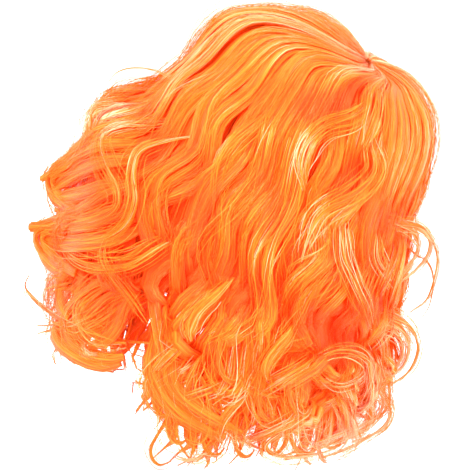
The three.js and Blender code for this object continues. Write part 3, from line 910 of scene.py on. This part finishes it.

# Drawn locks: the curls and wisps that stand out from the rest, each laid over the hair or off its edge.
# They are drawn as the camera sees them, in millimetres right of and over the middle of the picture, from
# root to tip, with a half width.

# Light locks that lie over the rest. A look says which share of the width is one solid body, how many
# strands there are to a millimetre of width, how many widths they spread and millimetres they stray, the
# tint, and the share of the width lost at the tip.
# The over locks are tinted pale, a painted highlight on the S-shaped locks
OVER_LOOK = {"body": 0.25, "strands": 4.4, "spread": 2.0, "stray": 1.2, "tint": 0.87, "taper": 0.65}
OVER_LOCKS = {
    "left_hem_middle": (4.8, ((-64, -22), (-74, -30), (-80, -40), (-76, -50), (-66, -55), (-56, -56))),
    "left_hem_over": (4.6, ((-48, -30), (-58, -36), (-68, -44), (-80, -50), (-90, -48))),
    "left_crest": (
        4.0,
        (
            (-23, 65), (-44, 61), (-62, 57), (-69, 47), (-66, 34),
            (-60, 23), (-61, 13), (-73, 7), (-91, 5), (-104, 5),
        ),
    ),
    "left_crest_inner": (
        4.0,
        ((-18, 57), (-36, 52), (-49, 44), (-53, 31), (-52, 18), (-57, 5), (-70, -3), (-86, -5)),
    ),
    "left_crest_outer": (
        4.0,
        ((-44, 70), (-62, 70), (-73, 64), (-75, 53), (-80, 41), (-88, 34), (-97, 28)),
    ),
    "brow_loop": (0.7, ((-18, 74), (-26, 78), (-39, 84), (-50, 86), (-60, 84), (-66, 78))),
    "crown_lock": (4.2, ((64, 90), (71, 82), (74, 70), (71, 56), (66, 44))),
    "middle_lock": (4.4, ((71, 78), (69, 68), (60, 61), (47, 57), (38, 48), (34, 36), (36, 23))),
    "long_lock": (5.0, ((74, 58), (73, 47), (72, 33), (61, 21), (45, 11), (38, -1), (34, -14))),
    "ring": (2.6, ((38, -60), (43, -66), (52, -60), (61, -60), (68, -66), (64, -75), (53, -79), (43, -73))),
    "right_fall": (3.6, ((62, 16), (57, 3), (56, -11), (61, -24), (67, -37), (70, -48))),
    "right_wave": (3.4, ((82, 12), (75, 1), (73, -10), (78, -20), (83, -29), (80, -40))),
    "left_arc": (3.6, ((-28, 4), (-39, -5), (-52, -14), (-68, -16), (-82, -12), (-92, -2))),
    "left_fall": (2.6, ((-50, 14), (-60, 5), (-67, -7), (-65, -18), (-52, -35), (-44, -47))),
}
# Flicks, hooks and wisps off the edge, and the sweeps over the left lobe
EDGE_LOOK = {"body": 0.46, "strands": 3.2, "spread": 2.0, "stray": 1.2, "tint": 0.68, "taper": 0.65}
EDGE_LOCKS = {
    "left_flick": (
        2.6,
        ((-44, -59), (-60, -56), (-78, -49), (-94, -41), (-103, -34), (-108, -27), (-106, -21)),
    ),
    "lobe_sweep": (3.8, ((-52, -14), (-64, -21), (-77, -29), (-87, -40), (-87, -51), (-78, -59))),
    "lobe_sweep_inner": (3.8, ((-46, -20), (-58, -27), (-70, -35), (-79, -46), (-76, -55), (-66, -60))),
    "left_wisp": (1.2, ((-60, -50), (-70, -49), (-86, -48), (-97, -50), (-103, -52))),
    "left_wisp_over": (0.9, ((-70, -42), (-83, -45), (-96, -47), (-105, -47))),
    "hook": (
        2.0,
        ((-28, -80), (-33, -91), (-38, -100), (-43, -109), (-43, -115), (-39, -119), (-33, -117)),
    ),
    "hem_wisp": (1.2, ((-28, -86), (-30, -97), (-29, -107), (-25, -114), (-21, -119))),
    "hem_wisp_inner": (1.2, ((-20, -88), (-23, -99), (-22, -109), (-24, -118))),
    "high_right_wisp": (0.8, ((82, 6), (88, -1), (92, -9), (99, -14), (102, -23), (100, -36), (96, -43))),
    "left_point_wisp": (0.8, ((-80, 42), (-91, 36), (-96, 26), (-96, 17), (-93, 10))),
}
# Loops off the right edge and along the hem
# The loops are tinted pale, painted light standing in for light shining through them
LOOP_LOOK = {"body": 0.42, "strands": 5.0, "spread": 2.0, "stray": 1.2, "tint": 0.88, "taper": 0.5}
LOOP_LOCKS = {
    "high_right_loop": (3.2, ((73, 0), (84, 5), (94, 5), (100, -1), (99, -10), (93, -18), (84, -25))),
    "high_right_inner": (3.0, ((70, 6), (81, 7), (90, 3), (94, -4), (92, -12), (86, -20), (78, -27))),
    "high_right_outer": (2.0, ((80, 6), (92, 5), (101, -2), (104, -12), (102, -24), (98, -34), (90, -40))),
    "right_loop": (
        3.2,
        ((64, -38), (74, -41), (84, -43), (91, -49), (94, -57), (92, -66), (87, -73), (79, -78)),
    ),
    "right_loop_inner": (3.0, ((60, -44), (71, -45), (80, -48), (85, -54), (86, -61), (83, -68), (76, -73))),
    "hem_ring": (2.2, ((52, -99), (34, -100), (21, -104), (16, -110), (26, -115), (44, -113), (57, -107))),
    "low_right_loop": (3.0, ((62, -70), (70, -77), (77, -84), (80, -92), (77, -99), (71, -103), (60, -107))),
    "low_right_inner": (2.8, ((54, -72), (63, -81), (69, -88), (70, -95), (64, -99), (54, -103), (42, -107))),
    "right_loop_middle": (3.6, ((62, -41), (73, -43), (82, -46), (88, -52), (89, -60), (86, -68), (78, -75))),
    "low_right_fill": (3.2, ((68, -64), (73, -75), (76, -84), (74, -93), (66, -100), (54, -106), (42, -111))),
    "low_right_outer": (
        3.2,
        ((72, -72), (78, -81), (80, -90), (77, -98), (68, -105), (56, -111), (45, -115)),
    ),
}
# The two points at the left and the full hair round them
POINT_LOOK = {"body": 0.84, "strands": 3.4, "spread": 1.8, "stray": 1.2, "tint": 0.62, "taper": 0.4}
POINT_LOCKS = {
    "left_cheek": (5.0, ((-82, -10), (-87, -18), (-90, -27), (-90, -36), (-86, -44))),
    "left_hem_fill": (4.8, ((-50, -22), (-56, -34), (-60, -46), (-66, -54), (-75, -58))),
    "left_point": (4.5, ((-52, 65), (-68, 57), (-80, 46), (-91, 35), (-100, 29))),
    "left_point_middle": (6.0, ((-50, 54), (-66, 48), (-80, 41), (-91, 34), (-99, 29))),
    "left_point_low": (6.0, ((-50, 44), (-64, 39), (-78, 34), (-88, 28), (-95, 23))),
    "left_point_under": (5.0, ((-54, 32), (-66, 26), (-77, 22), (-86, 20), (-90, 19))),
    "left_point_turn": (4.5, ((-78, 48), (-88, 40), (-95, 32), (-96, 25), (-92, 18), (-82, 11))),
    "left_point_face": (5.0, ((-70, 40), (-83, 37), (-92, 31), (-93, 24), (-87, 16), (-76, 10))),
    "low_left_point": (4.5, ((-50, 35), (-64, 24), (-78, 14), (-92, 7), (-106, 4))),
    "low_left_point_middle": (6.0, ((-48, 22), (-62, 12), (-77, 6), (-91, 4), (-105, 4))),
    "low_left_point_under": (6.0, ((-48, 8), (-62, -1), (-77, -4), (-90, -4), (-100, 0))),
    "low_left_face": (5.0, ((-74, 10), (-89, 6), (-98, 1), (-98, -6), (-91, -14), (-82, -20))),
    "low_left_edge": (4.5, ((-84, 11), (-95, 7), (-102, 1), (-101, -7), (-96, -15), (-88, -22))),
}
# The turned-in underside of the left lobe and of the hem's left corner
CORNER_LOOK = {"body": 0.84, "strands": 3.0, "spread": 2.2, "stray": 2.0, "tint": 0.54, "taper": 0.4}
CORNER_LOCKS = {
    "left_hem": (4.6, ((-82, -30), (-92, -42), (-93, -52), (-88, -59), (-78, -65), (-67, -68), (-59, -66))),
    "left_hem_inner": (4.6, ((-78, -34), (-87, -45), (-85, -55), (-75, -62), (-64, -64), (-57, -63))),
    "hem_corner": (
        5.0,
        ((-41, -42), (-43, -58), (-42, -72), (-37, -83), (-29, -92), (-17, -100), (-6, -106)),
    ),
    "hem_corner_inner": (
        5.0,
        ((-32, -48), (-34, -63), (-33, -75), (-27, -84), (-18, -91), (-8, -97), (3, -103)),
    ),
}
# Leaf-shaped curls: one path, moved to several places
LEAF_LOOK = {"body": 0.55, "strands": 4.4, "spread": 1.2, "stray": 0.8, "tint": 0.76, "taper": 0.6}
LEAF_WIDTH = 4.4
LEAF_PATH = ((8, 8), (0, 0), (-7, -6.5), (-12.5, -13.5), (-14.5, -20), (-13.5, -25))
LEAF_PLACES = ((-9, -30), (30, -50), (-31, -59), (6, -82))
# Curls in the shape of a C along the hem: right, up, size and hand of each
HEM_LOOK = {"body": 0.36, "strands": 3.6, "spread": 2.2, "stray": 2.4, "tint": 0.7, "taper": 0.65}
HEM_CURLS = (
    (-29, -99, 7, 1),
    (-11, -104, 8, 1),
    (5, -106, 7, 1),
    (20, -102, 9, -1),
    (35, -102, 9, 1),
    (50, -99, 9, -1),
    (63, -93, 8, -1),
    (73, -84, 8, -1),
    (-36, -84, 8, 1),
    (-18, -84, 8, 1),
    (-20, -96, 9, -1),
    (18, -86, 8, 1),
    (34, -82, 8, 1),
    (70, -64, 8, -1),
    (-2, -66, 8, 1),
)
HEM_CURL_WIDTH = 3.6
HEM_CURL_START = 75.0
HEM_CURL_TURN = 250.0
HEM_CURL_WIDE = 0.8
HEM_CURL_HIGH = 1.3
HEM_CURL_ROOT = 1.2
DRAWN_STEPS = 28
DRAWN_LIFT = 1.0
ROOT_SUNK = 8.0
ROOT_WIDTH = 0.5
DRAWN_FLATNESS = 0.35
DRAWN_LEAST_THICK = 0.15
DRAWN_GIRTH = np.pi * 1.4
DRAWN_DEPTH = 0.05
BODY_DARKER = 0.12
# Painted light on the drawn locks: shade painted in the hollows and a highlight on the swells they lie over
DRAWN_PAINTED_LIGHT = 0.55
LEAST_SPREAD = 0.3
LEAST_STRAY = 0.1
STRAY_PACE = (6.0, 16.0)
STRAY_OFFSET = (0.0, 6.0)
STRAND_RAISE = 0.45
STRAND_UNDER = 0.2
STRAND_STARTS = (0.0, 0.25)
STRAND_ENDS = (0.8, 1.0)
DRAWN_TINT_SPREAD = 0.16
DRAWN_STRAND_WIDTH = (0.08, 0.16)
SOFT_REACH = 5.0
NEAR_TURN = 112.0
NEAR_SHARE = 0.94

near_turns = np.linspace(-NEAR_TURN, NEAR_TURN, 150)
near_turn, near_share = np.meshgrid(near_turns, np.linspace(0.0, NEAR_SHARE, 90))
level = np.zeros_like(near_turn)
near_points, near_out = hair_points(near_turn, near_share, level, level, level)
towards_camera = near_out @ picture_axes[2] > 0.0
near_points = near_points[towards_camera]
near_out = near_out[towards_camera]
near_seen = seen(near_points)


def smooth_path(drawn, steps):
    """A Catmull-Rom curve through drawn points: between two points p and q with neighbours o and r it is half
    of 2p + (q - o) t + (2o - 5p + 4q - r) t^2 + (3p - o - 3q + r) t^3."""
    drawn = np.array(drawn, dtype=float)
    drawn = np.concatenate((2.0 * drawn[:1] - drawn[1:2], drawn, 2.0 * drawn[-1:] - drawn[-2:-1]))
    place = np.linspace(0.0, len(drawn) - 3.0, steps)
    first = np.minimum(place.astype(int), len(drawn) - 4)
    t = (place - first)[:, None]
    o, p, q, r = (drawn[first + i] for i in range(4))
    return 0.5 * (2 * p + (q - o) * t + (2 * o - 5 * p + 4 * q - r) * t**2 + (3 * p - o - 3 * q + r) * t**3)


def curl_path(right, up, size, hand, steps):
    """A curl in the shape of a C round a place in the picture: an ellipse of the curl's size times its share
    of width and height, from over its top round the left, or the right for the other hand, to its lower end,
    with the root drawn out upwards by (1-t)^2."""
    t = np.linspace(0.0, 1.0, steps)
    angle = np.radians(HEM_CURL_START + HEM_CURL_TURN * t)
    aside = right + hand * HEM_CURL_WIDE * size * np.cos(angle)
    height = up + size * (HEM_CURL_HIGH * np.sin(angle) + HEM_CURL_ROOT * (1.0 - t) ** 2)
    return np.stack((aside, height), axis=-1)


def onto_hair(path):
    """Drawn places brought onto the hair: the mean of the lay's nearest points, weighted by the bell curve
    of their distance in the picture, and what is left over in the picture plane. Returns the points and
    the outward directions."""
    apart = np.sum((path[:, None, :] - near_seen[None]) ** 2, axis=-1)
    weight = np.exp(-(apart - apart.min(axis=1, keepdims=True)) / (2.0 * SOFT_REACH**2))
    weight /= weight.sum(axis=1, keepdims=True)
    points = weight @ near_points
    out = weight @ near_out
    out /= np.linalg.norm(out, axis=-1, keepdims=True)
    points += (path - seen(points)) @ picture_axes[:2]
    return points, out


drawn_groups = (
    (OVER_LOOK, OVER_LOCKS),
    (EDGE_LOOK, EDGE_LOCKS),
    (LOOP_LOOK, LOOP_LOCKS),
    (POINT_LOOK, POINT_LOCKS),
    (CORNER_LOOK, CORNER_LOCKS),
)
drawn_paths = []
for look, group in drawn_groups:
    for width, places in group.values():
        drawn_paths.append((look, width, smooth_path(places, DRAWN_STEPS)))
leaf_curve = smooth_path(LEAF_PATH, DRAWN_STEPS)
for place in LEAF_PLACES:
    drawn_paths.append((LEAF_LOOK, LEAF_WIDTH, leaf_curve + np.array(place)))
for curl in HEM_CURLS:
    drawn_paths.append((HEM_LOOK, HEM_CURL_WIDTH, curl_path(*curl, DRAWN_STEPS)))

drawn_share = np.linspace(0.0, 1.0, DRAWN_STEPS)
drawn_root = mix(ROOT_WIDTH, 1.0, smooth_step(drawn_share, 0.0, 0.3))
drawn_tip = smooth_step(drawn_share, 0.7, 1.0)
drawn_lift = DRAWN_LIFT - ROOT_SUNK * (1.0 - smooth_step(drawn_share, 0.0, 0.35))
body_paths, body_outs, body_widths, body_tints = [], [], [], []
strand_paths, strand_outs, strand_tints = [], [], []
for look, drawn_width, drawn in drawn_paths:
    points, out = onto_hair(drawn)
    points = points + out * drawn_lift[:, None]
    drawn_profile = drawn_root * (1.0 - look["taper"] * drawn_tip)
    ahead = np.gradient(points, axis=0)
    across = np.cross(out, ahead / np.linalg.norm(ahead, axis=-1, keepdims=True))
    body_paths.append(points)
    body_outs.append(out)
    body_widths.append(drawn_width * look["body"] * drawn_profile)
    # The body takes the painted shade of the hollows and the painted highlight of the swells
    body_tints.append(look["tint"] - BODY_DARKER - DRAWN_PAINTED_LIGHT * dent_and_painted_light_at(points))
    drawn_count = 3 + int(look["strands"] * drawn_width)
    for angle in np.linspace(-STRAND_UNDER, np.pi + STRAND_UNDER, drawn_count):
        reach = drawn_width * chance.uniform(LEAST_SPREAD, look["spread"]) * drawn_profile
        stray_size = chance.uniform(LEAST_STRAY, look["stray"])
        stray_pace = chance.uniform(*STRAY_PACE)
        stray = stray_size * np.sin(stray_pace * drawn_share + chance.uniform(*STRAY_OFFSET))
        aside = (np.cos(angle) * reach + stray)[:, None]
        raised = (STRAND_RAISE * np.sin(angle) * reach)[:, None]
        strand = points + across * aside + out * raised
        part = mix(chance.uniform(*STRAND_STARTS), chance.uniform(*STRAND_ENDS), drawn_share)
        strand = np.stack([np.interp(part, drawn_share, values) for values in strand.T], axis=-1)
        strand_tint = look["tint"] + chance.normal(0.0, DRAWN_TINT_SPREAD)
        strand_paths.append(strand)
        strand_outs.append(out)
        # Each strand takes the painted shade of the hollows and the painted highlight of the swells
        strand_tints.append(strand_tint - DRAWN_PAINTED_LIGHT * dent_and_painted_light_at(strand))

body_paths = np.array(body_paths)
body_widths = np.array(body_widths)
body_thick = DRAWN_FLATNESS * body_widths + DRAWN_LEAST_THICK
rings = tube_rings(body_paths, np.array(body_outs), body_widths, body_thick, BODY_SIDES)
girth = DRAWN_GIRTH * body_widths.max(axis=1)
# The drawn bodies take a little painted shade by depth
shades = {"depth": np.full(body_widths.shape, DRAWN_DEPTH), "tint": np.array(body_tints)}
piece = put_mesh("drawn_locks", rings, path_lengths(body_paths), girth, shades, lock_finish)
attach(piece, "root")

strand_paths = np.array(strand_paths)
strand_width = chance.uniform(*DRAWN_STRAND_WIDTH, len(strand_paths))
half_width = strand_width[:, None] * (1.0 - 0.5 * smooth_step(drawn_share, 0.8, 1.0))
rings = tube_rings(strand_paths, np.array(strand_outs), half_width, half_width, STRAND_SIDES)
girth = 2.0 * np.pi * strand_width
shades = {"depth": np.zeros(half_width.shape), "tint": np.array(strand_tints)}
piece = put_mesh("drawn_strands", rings, path_lengths(strand_paths), girth, shades, strand_finish)
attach(piece, "root")
